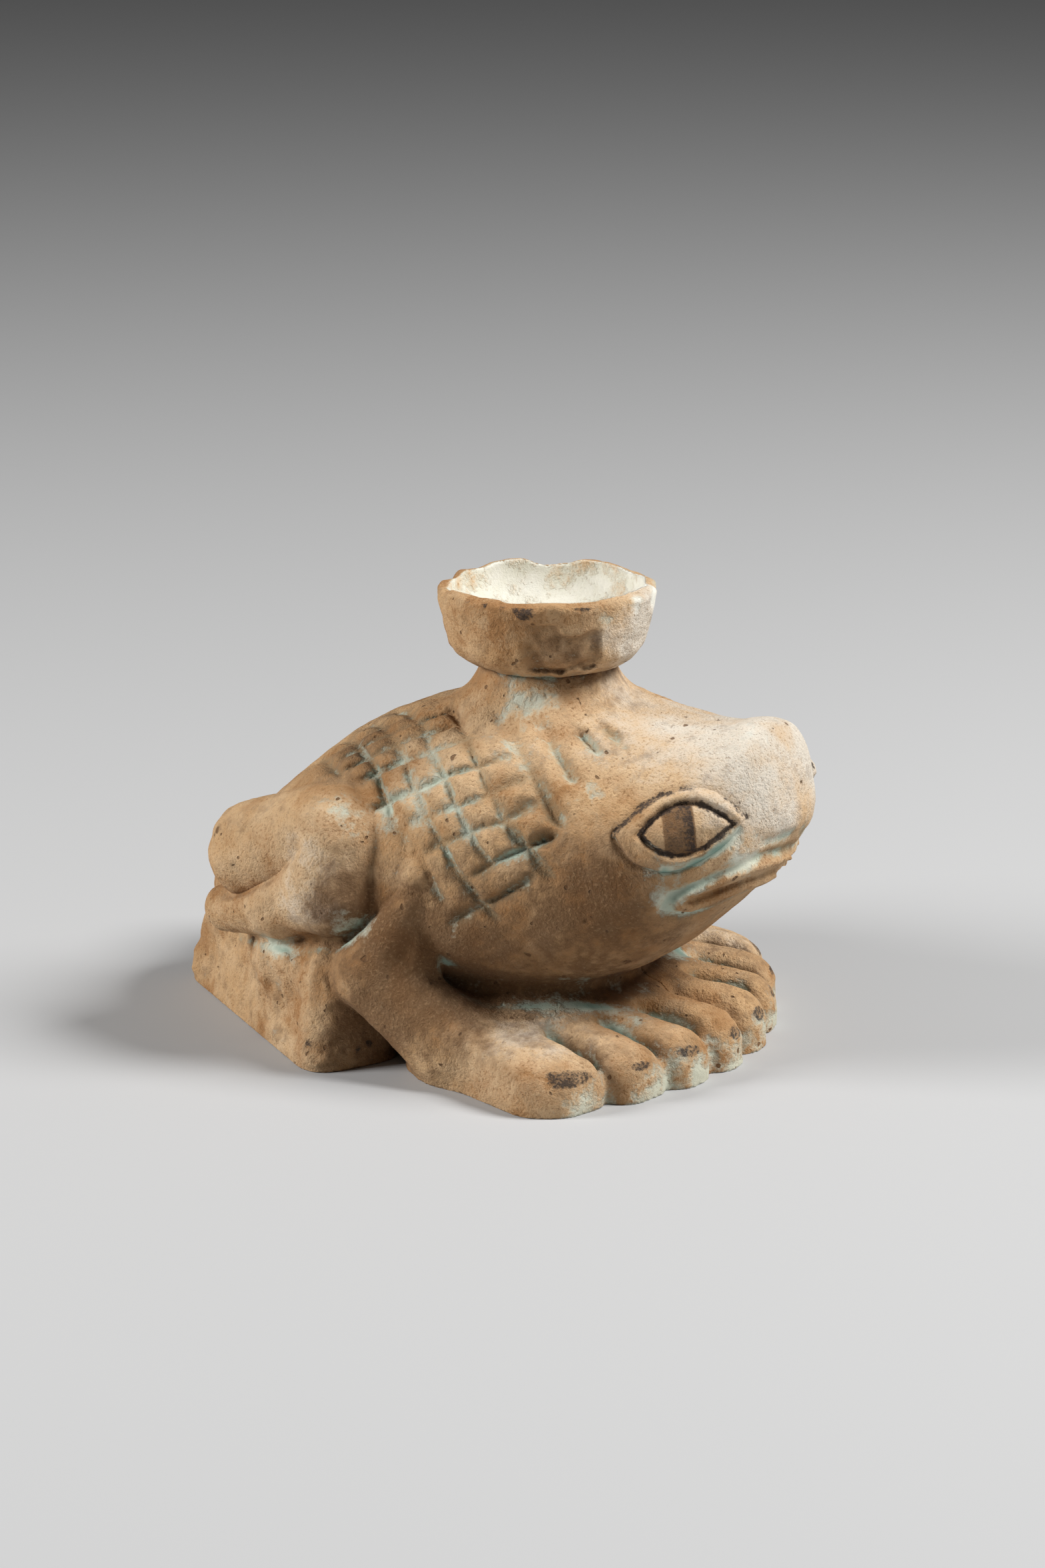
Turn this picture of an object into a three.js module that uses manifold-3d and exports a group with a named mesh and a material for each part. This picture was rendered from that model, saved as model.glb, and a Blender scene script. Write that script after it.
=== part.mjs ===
// A small oil flask in the shape of a crouching frog, made of glazed frit paste.
// Its shells are pressed in moulds, and the limbs, eyes, neck and mouth cup are luted on with slip.
// Millimetres, +Z up. The frog faces -Y, X = 0 is its middle plane and its feet stand on Z = 0.
// Every right-hand piece is modelled at negative X, and its left-hand twin is its mirror image.
import * as THREE from "three";
import { mergeVertices } from "three/addons/utils/BufferGeometryUtils.js";
import Module from "manifold-3d";

const wasm = await Module();
wasm.setup();

// Joints: the slip between two luted pieces is this thick.
const luteGap = 0.3;

// Body, seen from the side: an egg with a blunt snout. Heights are above the floor, and places on the
// head are measured back from the nose.
const noseY = -32.5;
const rumpY = 30.4;
const snoutBumpBack = 3.8;
const chinBack = 2;
const cheekBack = 6.8;
const browBack = 8.5;
const throatBack = 12.5;
const chestY = -12;
const shoulderY = -2;
const loinY = 13;
const snoutFrontHeight = 33.4;
const snoutBumpHeight = 34.3;
const browHeight = 33.4;
const crownHeight = 34.8;
const loinHeight = 28.6;
const rumpHeight = 13;
const lipHeight = 22.2;
const chinHeight = 20.2;
const throatHeight = 9.8;
const bellyHeight = 6.4;
const ventHeight = 8.5;

// Body, seen from above: half widths at the places where the egg swells or narrows.
const snoutHalfWidth = 6.6;
const cheekHalfWidth = 12.4;
const chestHalfWidth = 17.2;
const shoulderHalfWidth = 18.6;
const loinHalfWidth = 15.8;
const rumpHalfWidth = 5.2;

// Body cross sections: the level where each is widest, and how square it is (2 is an ellipse).
const snoutLevel = 27;
const cheekLevel = 22;
const chestLevel = 18.6;
const loinLevel = 16;
const rumpLevel = 10.5;
const bodySquareness = 2.2;
const noseRound = 3;
const rumpRound = 7;

// The hollow for the oil, and the plane where the two shells meet, which slopes down to the rump.
const bodyWall = 4;
const cavityFrontY = -20;
const cavityRearY = 20;
const cavityRound = 7;
const partingNoseHeight = 23.5;
const partingRumpHeight = 11;

// Neck and mouth cup, turned about one upright axis.
const neckY = -6.2;
const neckHeight = 2.4;
const neckRadius = 6.2;
const neckFlareRadius = 9.2;
const neckFlareHeight = 3.4;
const spigotRadius = 5;
const boreRadius = 3.4;
const cupDepth = 8;
const cupRimRadius = 10.8;
const cupRimWidth = 1.2;
const cupBaseRadius = 9.4;
const cupFootRadius = 8;
const cupFootBevel = 1.1;
const cupFloor = 1.6;

// Hatching: strokes of a blunt tool on the back and flanks. Angles are in degrees down from the ridge.
// Cross strokes come down the sides and lean forward by some millimetres per degree. Long strokes run
// along the body and sink towards the rear by some degrees per millimetre.
const strokeDepth = 0.7;
const strokeSteps = 4;
const crossStrokes = 9;
const crossStrokeRearY = 11.6;
const crossStrokeStep = 4.05;
const crossStrokeLean = 0.245;
const crossStrokeMiddle = 45;
const crossStrokeTop = 28;
const crossStrokeRearEnd = 98;
const crossStrokeFrontEnd = 36;
const longStrokes = 6;
const longStrokeTop = 34.5;
const longStrokeStep = 12;
const longStrokeLean = 1.6;
const longStrokeMiddleY = -6;
const longStrokeLength = 11;

// Hind legs: a thigh and a shank folded at the knee. A sink is how far inside the flank the middle of
// a roll lies. It is less than nothing where the middle stands out.
const hipY = 18.6;
const hipHeight = 18.4;
const hipRadius = 5;
const hipSink = 0.2;
const kneeY = 8.7;
const kneeHeight = 22;
const kneeRadius = 5;
const kneeSink = 1.9;
const shinY = 8.6;
const shinHeight = 17.4;
const shinRadius = 5.7;
const shinSink = 1.2;
const ankleY = 19.2;
const ankleHeight = 12.6;
const ankleRadius = 2.6;
const ankleSink = -1.4;

// Hind feet: long blocks that slant outward to a broad toe and grow narrower upwards, each with a high
// instep against the elbow.
const hindFootHeight = 10.6;
const hindFootTaper = 0.26;
const hindFootRound = 1.6;
const hindHeelX = -3.2;
const hindHeelY = 30.9;
const hindHeelWidth = 4;
const hindToeX = -22.4;
const hindToeY = 6.6;
const hindToeWidth = 8.6;
const instepX = -12.6;
const instepY = 14.5;
const instepHeight = 9;
const instepRadius = 4.4;
const instepFrontX = -15.4;
const instepFrontY = 4.8;
const instepFrontHeight = 10.2;
const instepFrontRadius = 3.6;

// Forelegs: each bends back to the elbow and forward again to the wrist.
const armY = -0.6;
const armHeight = 17;
const armRadius = 2;
const armSink = 0.5;
const elbowY = 3.2;
const elbowHeight = 9.6;
const elbowRadius = 3.7;
const elbowSink = 0.2;
const wristY = -4.6;
const wristHeight = 3.8;
const wristRadius = 4.1;
const wristSink = 0.9;

// Forefeet: palms as high as the belly that rests on them, and toes whose tips stand on an arc.
const palmRearY = -1.5;
const palmRearHalfWidth = 17.4;
const palmHalfWidth = 23.8;
const palmOuterY = -15.6;
const palmInnerY = -20;
const toeCount = 4;
const toeFanRadius = 28.1;
const toeLastAngle = 5.8;
const toeStepAngle = 12.2;
const toeTurn = 0.5;
const toeLength = 14;
const toeWidth = 6.2;
const toeHeight = 4.8;
const firstToeWidth = 7.6;
const firstToeReach = 1.1;
const firstToeAngle = 45.8;
const footBevel = 1.1;
const footRound = 2.6;

// Eyes: almond pellets pressed flat on the cheeks.
const eyeHeight = 26;
const eyeLength = 12;
const eyeWidth = 7.6;
const eyeStand = 1.3;
const eyeTilt = 16;

// How finely curved surfaces are divided.
const ringPoints = 32;
const bodySteps = 16;
const cavitySteps = 6;
const limbPoints = 14;
const capRings = 4;
const latheSteps = 36;
const almondSteps = 8;
const ballPoints = 12;
const bevelSteps = 2;
const cornerSteps = 3;
const slopeStep = 0.5;

const paste = new THREE.MeshStandardMaterial({ color: 0xc39a6e, roughness: 0.9, metalness: 0 });
const glazed = new THREE.MeshStandardMaterial({ color: 0xcdc3a4, roughness: 0.6, metalness: 0 });
const painted = new THREE.MeshStandardMaterial({ color: 0x6f4f3a, roughness: 0.8, metalness: 0 });

// A smooth line through [station, value] points, as a function of the station.
function outline(points) {
  const stations = points.map((p) => p[0]);
  const values = points.map((p) => p[1]);
  const curve = new THREE.CubicInterpolant(stations, values, 1);
  return (y) => curve.evaluate(y)[0];
}

const cheekY = noseY + cheekBack;
const topLine = outline([
  [noseY, snoutFrontHeight],
  [noseY + snoutBumpBack, snoutBumpHeight],
  [noseY + browBack, browHeight],
  [neckY, crownHeight],
  [loinY, loinHeight],
  [rumpY, rumpHeight],
]);
const underLine = outline([
  [noseY, lipHeight],
  [noseY + chinBack, chinHeight],
  [noseY + throatBack, throatHeight],
  [chestY, bellyHeight],
  [loinY, bellyHeight],
  [rumpY, ventHeight],
]);
const halfWidth = outline([
  [noseY, snoutHalfWidth],
  [cheekY, cheekHalfWidth],
  [chestY, chestHalfWidth],
  [shoulderY, shoulderHalfWidth],
  [loinY, loinHalfWidth],
  [rumpY, rumpHalfWidth],
]);
const widestLevel = outline([
  [noseY, snoutLevel],
  [cheekY, cheekLevel],
  [chestY, chestLevel],
  [loinY, loinLevel],
  [rumpY, rumpLevel],
]);

// The X of a place on the right side, sunk inside the widest line of the flank.
const rightFlank = (y, sink) => sink - halfWidth(y);

// A closed surface from one tip through rings of points to another tip. Each ring is a list of
// [x, y, z] that turns anticlockwise seen from the last tip.
function loft(firstTip, rings, lastTip) {
  const count = rings[0].length;
  const points = [...rings.flat(), firstTip, lastTip];
  const first = rings.length * count;
  const lastRing = first - count;
  const faces = [];
  for (let j = 0; j < count; j++) {
    const next = (j + 1) % count;
    for (let low = 0; low < lastRing; low += count) {
      const high = low + count;
      faces.push(low + j, low + next, high + next, low + j, high + next, high + j);
    }
    faces.push(first, next, j, first + 1, lastRing + j, lastRing + next);
  }
  const geometry = new THREE.BufferGeometry();
  geometry.setAttribute("position", new THREE.Float32BufferAttribute(points.flat(), 3));
  geometry.setIndex(faces);
  return geometry;
}

// Where a form with rounded ends is cut into rings: shares 0 to 1 of the rounding at each end.
const capShares = Array.from({ length: capRings }, (_, i) => Math.sin((i / capRings) * (Math.PI / 2)));
const roundOff = (share) => Math.sqrt(Math.max(0, 1 - share * share));

// The egg of the body, from front to rear, grown by a clearance or shrunk by a wall.
function egg({ front, rear, frontRound, rearRound, grow, steps }) {
  const frontCap = capShares.map((s) => [front + frontRound * (1 - s), roundOff(s)]).reverse();
  const rearCap = capShares.map((s) => [rear - rearRound * (1 - s), roundOff(s)]);
  const middle = [];
  for (let i = 1; i < steps; i++) {
    const y = THREE.MathUtils.lerp(front + frontRound, rear - rearRound, i / steps);
    middle.push([y, 1]);
  }
  const rings = [...frontCap, ...middle, ...rearCap].map(([y, scale]) => {
    const level = widestLevel(y);
    const up = (topLine(y) + grow - level) * scale;
    const down = (level - underLine(y) + grow) * scale;
    const across = (halfWidth(y) + grow) * scale;
    return Array.from({ length: ringPoints }, (_, j) => {
      const angle = (j / ringPoints) * 2 * Math.PI;
      const c = Math.cos(angle);
      const s = Math.sin(angle);
      const x = Math.sign(c) * Math.abs(c) ** (2 / bodySquareness) * across;
      const z = Math.sign(s) * Math.abs(s) ** (2 / bodySquareness) * (s > 0 ? up : down);
      return [x, y, level + z];
    });
  });
  const tip = (y) => [0, y, widestLevel(y)];
  return loft(tip(rear), rings.reverse(), tip(front));
}

// A tapering roll of paste with round ends, from one [x, y, z, radius] place to another.
function roll(from, to, grow = 0) {
  const start = new THREE.Vector3(...from);
  const end = new THREE.Vector3(...to);
  const along = end.clone().sub(start).normalize();
  const side = new THREE.Vector3(0, 0, 1).cross(along).normalize();
  const up = new THREE.Vector3().crossVectors(along, side);
  const startRadius = from[3] + grow;
  const endRadius = to[3] + grow;
  const ring = (centre, radius) =>
    Array.from({ length: limbPoints }, (_, j) => {
      const angle = (j / limbPoints) * 2 * Math.PI;
      const point = centre.clone().addScaledVector(side, Math.cos(angle) * radius);
      return point.addScaledVector(up, Math.sin(angle) * radius).toArray();
    });
  const beyond = (place, distance) => place.clone().addScaledVector(along, distance);
  const startCap = capShares.map((s) => ring(beyond(start, -s * startRadius), roundOff(s) * startRadius));
  const endCap = capShares.map((s) => ring(beyond(end, s * endRadius), roundOff(s) * endRadius));
  const rings = [...startCap.reverse(), ...endCap];
  return loft(beyond(start, -startRadius).toArray(), rings, beyond(end, endRadius).toArray());
}

// A flat outline in plan with rounded corners, raised from the floor to a height, its edges bevelled.
function slab(corners, height) {
  const shape = new THREE.Shape();
  const corner = (i) => new THREE.Vector2(...corners[(i + corners.length) % corners.length]);
  const near = (i, other) => corner(other).sub(corner(i)).setLength(footRound).add(corner(i));
  corners.forEach((_, i) => {
    const start = near(i, i - 1);
    const end = near(i, i + 1);
    if (i === 0) shape.moveTo(start.x, start.y);
    else shape.lineTo(start.x, start.y);
    shape.quadraticCurveTo(corner(i).x, corner(i).y, end.x, end.y);
  });
  const geometry = new THREE.ExtrudeGeometry(shape, {
    depth: height - 2 * footBevel,
    bevelThickness: footBevel,
    bevelSize: footBevel,
    bevelOffset: -footBevel,
    bevelSegments: bevelSteps,
    curveSegments: cornerSteps,
  });
  return geometry.translate(0, 0, footBevel);
}

// Geometry as a solid for cutting and joining, and back again.
function solid(geometry) {
  const bare = geometry.clone();
  bare.deleteAttribute("normal");
  bare.deleteAttribute("uv");
  const merged = mergeVertices(bare, 1e-4);
  return new wasm.Manifold(
    new wasm.Mesh({
      numProp: 3,
      vertProperties: merged.attributes.position.array,
      triVerts: new Uint32Array(merged.index.array),
    }),
  );
}
function geometryOf(manifold) {
  const mesh = manifold.getMesh();
  const geometry = new THREE.BufferGeometry();
  geometry.setAttribute("position", new THREE.BufferAttribute(mesh.vertProperties, 3));
  geometry.setIndex(new THREE.BufferAttribute(mesh.triVerts, 1));
  geometry.computeVertexNormals();
  return geometry;
}
const without = (piece, ...others) => others.reduce((left, other) => left.subtract(other), piece);

// A block that reaches well past the flask, for cutting with one of its faces.
const farOut = 200;
function block(centreX, centreY, centreZ) {
  return solid(new THREE.BoxGeometry(farOut, farOut, farOut).translate(centreX, centreY, centreZ));
}
const belowFloor = block(0, 0, -farOut / 2);
const leftHalf = block(farOut / 2 - luteGap / 2, 0, 0);

// Body shells: one hollow egg, parted along a plane that follows its widest line.
function body(grow = 0) {
  const ends = { front: noseY - grow, rear: rumpY + grow };
  return solid(egg({ ...ends, frontRound: noseRound, rearRound: rumpRound, grow, steps: bodySteps }));
}
const bodyClear = body(luteGap);
const cavityForm = egg({
  front: cavityFrontY,
  rear: cavityRearY,
  frontRound: cavityRound,
  rearRound: cavityRound,
  grow: -bodyWall,
  steps: cavitySteps,
});
const holeRadius = spigotRadius + luteGap;
const neckHole = new THREE.CylinderGeometry(holeRadius, holeRadius, farOut, latheSteps);
neckHole.rotateX(Math.PI / 2);
neckHole.translate(0, neckY, crownHeight - 2 * bodyWall + farOut / 2);
const partingSlope = Math.atan2(partingRumpHeight - partingNoseHeight, rumpY - noseY);
const partingMiddle = (partingNoseHeight + partingRumpHeight) / 2;
function besideParting(side) {
  const box = new THREE.BoxGeometry(farOut, farOut, farOut);
  box.translate(0, 0, side * (farOut / 2 + luteGap / 2));
  box.rotateX(partingSlope);
  return solid(box.translate(0, (noseY + rumpY) / 2, partingMiddle));
}

// The place on the right side of the body at a station and an angle down from the ridge.
function flankPoint(y, degrees) {
  const angle = THREE.MathUtils.degToRad(degrees);
  const level = widestLevel(y);
  const height = Math.abs((degrees < 90 ? topLine(y) : underLine(y)) - level);
  const across = Math.sin(angle) / halfWidth(y);
  const up = Math.abs(Math.cos(angle)) / height;
  const out = (across ** bodySquareness + up ** bodySquareness) ** (-1 / bodySquareness);
  return [-Math.sin(angle) * out, y, level + Math.cos(angle) * out];
}

// A stroke of the hatching: a pointed groove through places on the body.
function stroke(places) {
  const bits = places.map((place) => solid(new THREE.OctahedronGeometry(strokeDepth).translate(...place)));
  return bits.slice(1).map((bit, i) => wasm.Manifold.hull([bits[i], bit]));
}
const strokeShares = Array.from({ length: strokeSteps + 1 }, (_, i) => i / strokeSteps);
const rightStrokes = [];
for (let i = 0; i < crossStrokes; i++) {
  const end = THREE.MathUtils.lerp(crossStrokeRearEnd, crossStrokeFrontEnd, i / (crossStrokes - 1));
  const places = strokeShares.map((share) => {
    const angle = THREE.MathUtils.lerp(crossStrokeTop, end, share);
    const forward = i * crossStrokeStep + crossStrokeLean * (angle - crossStrokeMiddle);
    return flankPoint(crossStrokeRearY - forward, angle);
  });
  rightStrokes.push(...stroke(places));
}
for (let i = 0; i < longStrokes; i++) {
  const middle = longStrokeMiddleY + ((longStrokes - 1) / 2 - i) * longStrokeLean;
  const places = strokeShares.map((share) => {
    const y = middle + (share - 0.5) * longStrokeLength;
    return flankPoint(y, longStrokeTop + i * longStrokeStep + longStrokeLean * (y - longStrokeMiddleY));
  });
  rightStrokes.push(...stroke(places));
}
const rightHatching = wasm.Manifold.union(rightStrokes);
const hollowBody = without(body(), solid(cavityForm), rightHatching, rightHatching.mirror([1, 0, 0]));
const backShell = hollowBody.intersect(besideParting(1)).subtract(solid(neckHole));
const bellyShell = hollowBody.intersect(besideParting(-1));

// A ring-shaped piece turned about the upright axis of the neck, from [radius, height] points that go
// up its outside and down its inside.
function turned(points) {
  const profile = [...points, points[0]].map(([r, z]) => new THREE.Vector2(r, z));
  return solid(new THREE.LatheGeometry(profile, latheSteps).rotateX(Math.PI / 2).translate(0, neckY, 0));
}

// Neck: a short flared collar on the crown, with a spigot that goes through the shell.
// It clears the highest place of the body under the collar, and the flare comes down to the crown.
const neckSeat = Math.max(crownHeight, topLine(neckY - neckFlareRadius), topLine(neckY + neckFlareRadius));
const cupFootHeight = neckSeat + neckHeight;
const cupRimHeight = cupFootHeight + cupDepth;
const neckTop = cupFootHeight - luteGap;
const flareFoot = crownHeight + neckHeight - luteGap - neckFlareHeight;
const spigotFoot = crownHeight - bodyWall;
const flare = [];
for (let i = 0; i <= capRings; i++) {
  const angle = (i / capRings) * (Math.PI / 2);
  const out = (neckFlareRadius - neckRadius) * (1 - Math.sin(angle));
  flare.push([neckRadius + out, neckTop - (neckTop - flareFoot) * Math.cos(angle)]);
}
const collar = turned([[boreRadius, flareFoot], ...flare, [boreRadius, neckTop]]);
const spigot = turned([
  [boreRadius, spigotFoot],
  [spigotRadius, spigotFoot],
  [spigotRadius, neckTop],
  [boreRadius, neckTop],
]);
const neck = collar.subtract(bodyClear).add(spigot);

// Mouth cup: a flaring cup with a narrow flat rim and a funnel that leads to the bore.
const cupInside = new THREE.QuadraticBezierCurve(
  new THREE.Vector2(cupRimRadius - cupRimWidth, cupRimHeight),
  new THREE.Vector2(cupFootRadius, cupFootHeight + cupFloor),
  new THREE.Vector2(boreRadius, cupFootHeight + cupFloor),
);
const mouthCup = turned([
  [boreRadius, cupFootHeight],
  [cupFootRadius, cupFootHeight],
  [cupBaseRadius, cupFootHeight + cupFootBevel],
  [cupRimRadius, cupRimHeight],
  ...cupInside.getPoints(2 * capRings).map((p) => p.toArray()),
]);

// Hind leg: thigh against the body and shank below it, both over the foot.
function thighForm(grow = 0) {
  const hip = [rightFlank(hipY, hipSink), hipY, hipHeight, hipRadius];
  const knee = [rightFlank(kneeY, kneeSink), kneeY, kneeHeight, kneeRadius];
  return solid(roll(hip, knee, grow));
}
function shankForm(grow = 0) {
  const ankle = [rightFlank(ankleY, ankleSink), ankleY, ankleHeight, ankleRadius];
  const shin = [rightFlank(shinY, shinSink), shinY, shinHeight, shinRadius];
  return solid(roll(ankle, shin, grow));
}
const thigh = without(thighForm(), bodyClear, leftHalf);
const shank = without(shankForm(), bodyClear, leftHalf, thighForm(luteGap));

// Foreleg: from the shoulder back to the elbow and forward to the wrist.
function forelegForm(grow = 0) {
  const shoulder = [rightFlank(armY, armSink), armY, armHeight, armRadius];
  const elbow = [rightFlank(elbowY, elbowSink), elbowY, elbowHeight, elbowRadius];
  const wrist = [rightFlank(wristY, wristSink), wristY, wristHeight, wristRadius];
  return solid(roll(shoulder, elbow, grow)).add(solid(roll(elbow, wrist, grow)));
}
const foreleg = without(forelegForm(), bodyClear, belowFloor, thighForm(luteGap), shankForm(luteGap));

// Hind foot: a tapering block with rounded edges, and its instep.
function hindFootForm(grow = 0) {
  const middle = new THREE.Vector2((hindHeelX + hindToeX) / 2, (hindHeelY + hindToeY) / 2);
  const corners = [
    [hindHeelX, hindHeelY],
    [hindHeelX + hindHeelWidth, hindHeelY - hindHeelWidth],
    [hindToeX + hindToeWidth, hindToeY],
    [hindToeX, hindToeY],
  ].map((corner) => new THREE.Vector2(...corner));
  const radius = hindFootRound + grow;
  const ball = (at, z) => {
    const sphere = new THREE.SphereGeometry(radius, ballPoints, ballPoints / 2);
    return solid(sphere.translate(at.x, at.y, z));
  };
  const feet = corners.map((at) => ball(at, 0));
  const tops = corners.map((at) =>
    ball(at.clone().lerp(middle, hindFootTaper), hindFootHeight - hindFootRound),
  );
  const rear = [instepX, instepY, instepHeight, instepRadius];
  const front = [instepFrontX, instepFrontY, instepFrontHeight, instepFrontRadius];
  return wasm.Manifold.hull([...feet, ...tops]).add(solid(roll(rear, front, grow)));
}
const hindFoot = without(
  hindFootForm(),
  bodyClear,
  belowFloor,
  leftHalf,
  thighForm(luteGap),
  shankForm(luteGap),
  forelegForm(luteGap),
);

// Forefoot: a flat palm under the chest, with blunt toes that fan out in front of it.
function forefootForm() {
  const palm = [
    [-luteGap / 2, palmRearY],
    [-palmRearHalfWidth, palmRearY],
    [-palmHalfWidth, palmOuterY],
    [-luteGap / 2, palmInnerY],
  ];
  let foot = solid(slab(palm, bellyHeight));
  for (let i = 0; i < toeCount; i++) {
    const first = i === toeCount - 1;
    const angle = THREE.MathUtils.degToRad(first ? firstToeAngle : toeLastAngle + i * toeStepAngle);
    const half = (first ? firstToeWidth : toeWidth) / 2;
    const reach = first ? toeFanRadius + firstToeReach : toeFanRadius;
    const tip = new THREE.Vector2(-Math.sin(angle), -Math.cos(angle)).multiplyScalar(reach);
    const back = new THREE.Vector2(Math.sin(angle * toeTurn), Math.cos(angle * toeTurn));
    const corner = (inward, side) => [
      tip.x + back.x * inward + back.y * side * half,
      tip.y + back.y * inward - back.x * side * half,
    ];
    const toe = [corner(toeLength, 1), corner(toeLength, -1), corner(0, -1), corner(0, 1)];
    foot = foot.add(solid(slab(toe, toeHeight)));
  }
  return foot;
}
const forefoot = without(
  forefootForm(),
  bodyClear,
  belowFloor,
  leftHalf,
  forelegForm(luteGap),
  hindFootForm(luteGap),
);

// The place on the right side of the body at a station and a height.
function cheekPoint(y, height) {
  const level = widestLevel(y);
  const limit = height > level ? topLine(y) : underLine(y);
  const share = (height - level) / (limit - level);
  const across = halfWidth(y) * (1 - share ** bodySquareness) ** (1 / bodySquareness);
  return new THREE.Vector3(-across, y, height);
}

// Eye: an almond pellet of even thickness that follows the cheek.
function eyeForm() {
  const half = eyeLength / 2;
  const almond = new THREE.Shape();
  almond.moveTo(-half, 0);
  almond.quadraticCurveTo(0, -eyeWidth, half, 0);
  almond.quadraticCurveTo(0, eyeWidth, -half, 0);
  const cutter = new THREE.ExtrudeGeometry(almond, {
    depth: eyeLength,
    bevelEnabled: false,
    curveSegments: almondSteps,
  });
  const forward = cheekPoint(cheekY - slopeStep, eyeHeight).sub(cheekPoint(cheekY, eyeHeight));
  const rise = cheekPoint(cheekY, eyeHeight + slopeStep).sub(cheekPoint(cheekY, eyeHeight));
  const outward = new THREE.Vector3().crossVectors(forward, rise).normalize();
  const along = forward.normalize();
  const across = new THREE.Vector3().crossVectors(outward, along);
  cutter.translate(0, 0, -half);
  cutter.rotateZ(THREE.MathUtils.degToRad(eyeTilt));
  cutter.applyMatrix4(new THREE.Matrix4().makeBasis(along, across, outward));
  cutter.translate(...cheekPoint(cheekY, eyeHeight).toArray());
  return solid(cutter).intersect(body(eyeStand)).subtract(bodyClear);
}
const eye = eyeForm();

// The flask, with its paired pieces in a right side and a mirrored left side.
const flask = new THREE.Group();
flask.name = "frog_aryballos";
const rightSide = new THREE.Group();
const leftSide = new THREE.Group();
leftSide.scale.x = -1;
flask.add(rightSide, leftSide);
function addPiece(name, piece, material, parent) {
  const mesh = new THREE.Mesh(geometryOf(piece), material.clone());
  mesh.name = name;
  parent.add(mesh);
}
addPiece("back_shell", backShell, paste, flask);
addPiece("belly_shell", bellyShell, paste, flask);
addPiece("neck", neck, paste, flask);
addPiece("mouth_cup", mouthCup, glazed, flask);
const pairs = { thigh, shank, hind_foot: hindFoot, foreleg, forefoot, eye };
for (const [name, piece] of Object.entries(pairs)) {
  const material = name === "eye" ? painted : paste;
  addPiece(`right_${name}`, piece, material, rightSide);
  addPiece(`left_${name}`, piece, material, leftSide);
}

export default flask;
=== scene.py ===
import itertools
import math

import bmesh
import bpy
import numpy as np
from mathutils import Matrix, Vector


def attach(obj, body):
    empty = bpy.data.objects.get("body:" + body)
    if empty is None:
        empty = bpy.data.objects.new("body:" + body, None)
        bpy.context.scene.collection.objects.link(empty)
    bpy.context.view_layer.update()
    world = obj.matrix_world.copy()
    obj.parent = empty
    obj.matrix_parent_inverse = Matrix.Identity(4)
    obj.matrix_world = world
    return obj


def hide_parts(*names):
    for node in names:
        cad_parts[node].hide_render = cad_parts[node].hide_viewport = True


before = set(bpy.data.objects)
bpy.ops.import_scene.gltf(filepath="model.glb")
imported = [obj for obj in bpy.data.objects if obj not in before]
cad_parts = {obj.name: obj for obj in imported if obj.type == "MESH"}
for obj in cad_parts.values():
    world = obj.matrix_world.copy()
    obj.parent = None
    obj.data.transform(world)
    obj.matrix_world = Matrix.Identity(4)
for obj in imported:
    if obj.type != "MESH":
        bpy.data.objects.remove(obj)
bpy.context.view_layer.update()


# Body form
# The body is an egg of frit paste with a blunt snout, hollow for the oil. It was pressed in two moulds,
# a back and a belly, which were luted together on a sloping plane and tooled over until no seam showed.
nose_y = -32.5
rump_y = 30.4
nose_round = 3
rump_round = 7
squareness = 2.2


def line_through(*points):
    """A smooth line through (station, value) points, as a function of the station."""
    stations, values = np.array(points, float).T
    slopes = np.gradient(values, stations)

    def line(y):
        y = np.clip(y, stations[0], stations[-1])
        i = np.clip(np.searchsorted(stations, y) - 1, 0, len(stations) - 2)
        step = stations[i + 1] - stations[i]
        t = (y - stations[i]) / step
        rise = 3 * t**2 - 2 * t**3
        bend = slopes[i] * (t**3 - 2 * t**2 + t) + slopes[i + 1] * (t**3 - t**2)
        return values[i] * (1 - rise) + values[i + 1] * rise + step * bend

    return line


top_line = line_through((nose_y, 32.2), (-28.8, 33.6), (-24.6, 32.9), (-6.2, 34.8), (13, 28.6), (rump_y, 13))
under_line = line_through((nose_y, 21), (-29.9, 18.8), (-20, 9.8), (-12, 6.4), (13, 6.4), (rump_y, 8.5))
half_width = line_through((nose_y, 6.6), (-25.7, 12.4), (-12, 17.2), (-2, 18.6), (13, 15.8), (rump_y, 5.2))
widest_level = line_through((nose_y, 26.6), (-25.7, 22), (-12, 18.6), (13, 16), (rump_y, 10.5))


def egg(p):
    """How far points lie outside the plain egg of the body. Inside it the distance is negative."""
    x, y, z = p.T
    level = widest_level(y)
    width = half_width(y)
    height = np.where(z > level, top_line(y) - level, level - under_line(y))
    across = np.abs(x) / width
    up = np.abs(z - level) / height
    ring = np.maximum((across**squareness + up**squareness) ** (1 / squareness), 1e-6)
    end_round = np.where(y < 0, nose_round, rump_round)
    end = np.maximum(np.where(y < 0, nose_y + nose_round - y, y - rump_y + rump_round) / end_round, 0)
    size = np.hypot(ring, end)
    steep_x = (across / ring) ** (squareness - 1) / width
    steep_z = (up / ring) ** (squareness - 1) / height
    steep = np.sqrt(ring**2 * (steep_x**2 + steep_z**2) + (end / end_round) ** 2) / size
    return (size - 1) / np.maximum(steep, 1e-3)


# Hatching
# The back and flanks are hatched with strokes of a blunt tool in the damp paste: cross strokes that
# run down and forward, and long strokes that run along the body. They thin out towards the head.

# Each cross stroke is (Y at the middle angle, first angle, last angle), in degrees down from the top.
cross_middle_angle = 45
cross_strokes = [
    (11.4, 20, 50),
    (7.2, 18, 90),
    (3.3, 14, 96),
    (-0.4, 5, 79),
    (-4.7, 20, 84),
    (-9.5, 26, 67),
    (-13.4, 29, 52),
    (-17.3, 28, 38),
    (-20.7, 22, 33),
]
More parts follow.
